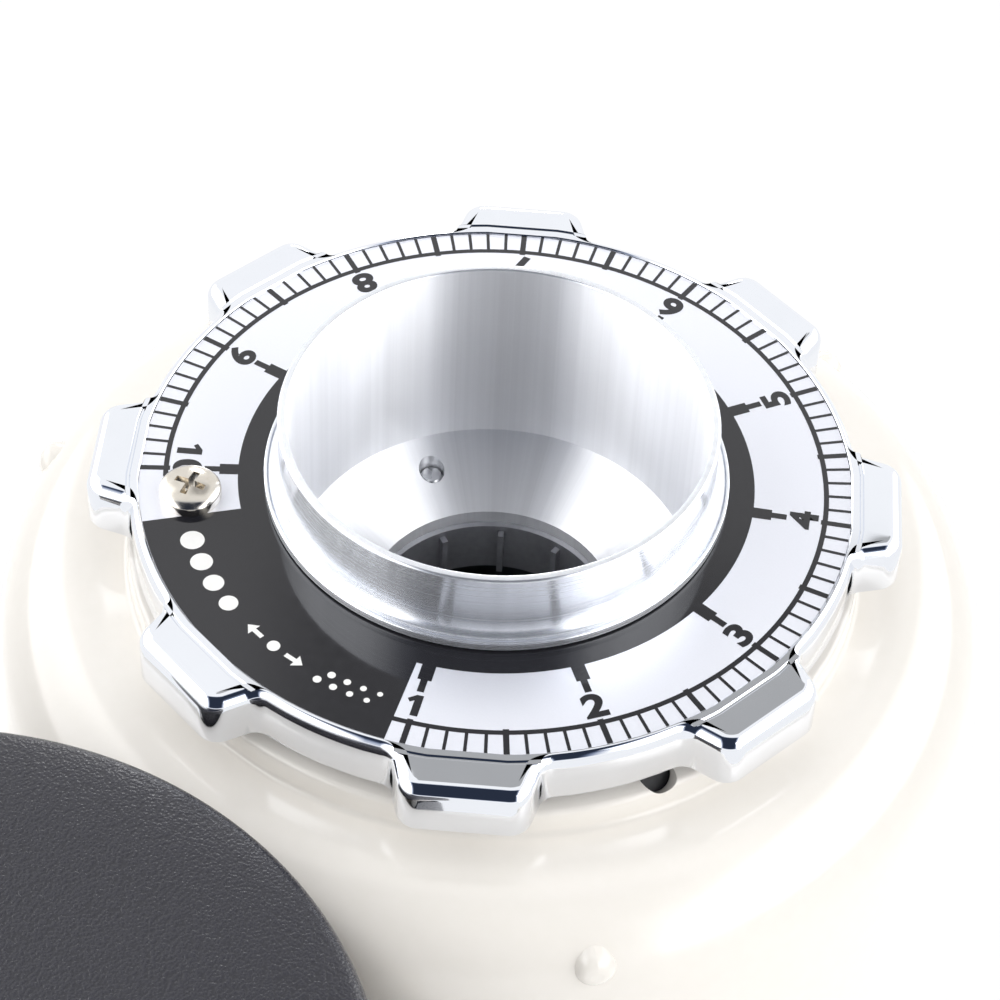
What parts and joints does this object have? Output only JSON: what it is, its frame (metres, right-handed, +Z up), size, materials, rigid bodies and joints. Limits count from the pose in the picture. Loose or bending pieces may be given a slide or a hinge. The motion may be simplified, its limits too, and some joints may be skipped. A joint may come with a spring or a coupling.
{
  "type": "burr coffee grinder",
  "caption": "Doser coffee grinder: cream tower on a flat base, lobed adjusting ring with numbered dial, open hopper throat, flat burrs, dosing drum with lever, fork and tray.",
  "frame": {"origin": "middle of the grinder's footprint, on the counter under its rubber feet", "axes": "+Z up along the burr axis, -Y forward to the doser, +X to the switch side"},
  "size_m": [0.198, 0.293, 0.3845],
  "materials": {
    "cream_enamel": "gloss cream enamel on cast aluminium",
    "chrome_plate": "bright chrome plate",
    "printed_aluminium": "satin aluminium with black printed scale",
    "turned_aluminium": "bright turned aluminium",
    "cast_aluminium": "plain casting with machined seats",
    "bright_steel": "bright zinc-plated steel",
    "burr_steel": "hardened ground steel",
    "black_oxide_steel": "black oxide steel",
    "core_steel": "laminated core steel",
    "winding_copper": "varnished copper winding",
    "grained_black_plastic": "moulded black plastic, leather grain",
    "black_plastic": "moulded black plastic, satin",
    "smoked_plastic": "clear smoked plastic",
    "pale_plastic": "moulded pale plastic",
    "black_rubber": "moulded black rubber",
    "plated_sheet": "zinc-plated sheet steel"
  },
  "bodies": {
    "base": {"rubber_feet": "black_rubber", "base_screws": "bright_steel", "base_casting": "cream_enamel", "base_cover": "plated_sheet", "cord_gland": "black_plastic", "body_casing": "cream_enamel", "casing_screws": "bright_steel", "casing_plugs": "cream_enamel", "chamber_screws": "black_oxide_steel", "burr_chamber": "cast_aluminium", "ring_lock_screw": "black_oxide_steel", "grounds_chute": "plated_sheet", "carrier_dowels": "bright_steel", "carrier_springs": "bright_steel", "shaft_seal": "black_rubber", "upper_bearing": "bright_steel", "lower_bearing": "bright_steel", "motor_stator": "core_steel", "motor_coils": "winding_copper", "motor_end_bell": "cast_aluminium", "motor_bolts": "bright_steel", "run_capacitor": "pale_plastic", "capacitor_clamp": "plated_sheet", "terminal_block": "pale_plastic", "switch_housing": "black_plastic", "doser_cup": "grained_black_plastic", "doser_screws": "bright_steel", "doser_window": "smoked_plastic", "doser_spout": "turned_aluminium", "spout_screws": "bright_steel", "portafilter_fork": "chrome_plate", "fork_screws": "bright_steel"},
    "carrier": {"upper_burr_carrier": "turned_aluminium", "throat_collar": "turned_aluminium", "upper_burr": "burr_steel", "upper_burr_screws": "black_oxide_steel"},
    "ring": {"adjusting_ring": "chrome_plate", "dial_plate": "printed_aluminium", "dial_screw": "bright_steel"},
    "rotor": {"motor_shaft": "bright_steel", "motor_rotor": "core_steel", "lower_burr_carrier": "turned_aluminium", "lower_burr": "burr_steel", "lower_burr_screws": "black_oxide_steel", "feed_cone": "burr_steel"},
    "lever": {"doser_lever": "chrome_plate", "lever_knob": "black_plastic", "lever_spring": "bright_steel"},
    "star": {"doser_star": "turned_aluminium", "doser_shaft": "bright_steel", "dose_nut": "black_plastic"},
    "lid": {"doser_lid": "grained_black_plastic"},
    "rocker": {"switch_rocker": "black_plastic"},
    "tray": {"grounds_tray": "grained_black_plastic"}
  },
  "joints": [
    {"name": "carrier_lift", "type": "slide", "parent": "base", "child": "carrier", "axis": [0, 0, 1], "range_m": [0, 0.00128], "deforming": ["carrier_springs"]},
    {"name": "ring_turn", "type": "hinge", "parent": "carrier", "child": "ring", "pos_m": [0, 0.0475, 0.372], "axis": [0, 0, 1], "range_deg": [-306, 0]},
    {"name": "rotor_spin", "type": "hinge", "parent": "base", "child": "rotor", "pos_m": [0, 0.0475, 0.23], "axis": [0, 0, 1], "continuous": true},
    {"name": "lever_pull", "type": "hinge", "parent": "base", "child": "lever", "pos_m": [0, -0.0835, 0.244], "axis": [0, 0, 1], "range_deg": [-60, 0], "stiffness_Nm_per_rad": 0.4, "springref_deg": 28.65},
    {"name": "star_turn", "type": "hinge", "parent": "base", "child": "star", "pos_m": [0, -0.0835, 0.27], "axis": [0, 0, 1], "range_deg": [-60, 0]},
    {"name": "lid_lift", "type": "slide", "parent": "base", "child": "lid", "axis": [0, 0, 1], "range_m": [0, 0.07]},
    {"name": "switch_rock", "type": "hinge", "parent": "base", "child": "rocker", "pos_m": [0.0865, 0.0475, 0.105], "axis": [0, 1, 0], "range_deg": [-16, 0]},
    {"name": "tray_slide", "type": "slide", "parent": "base", "child": "tray", "axis": [0, -1, 0], "range_m": [0, 0.12]}
  ],
  "couplings": [
    {"joint": "carrier_lift", "follows": "ring_turn", "m_per_rad": -0.00023873},
    {"joint": "star_turn", "follows": "lever_pull", "ratio": 1}
  ]
}
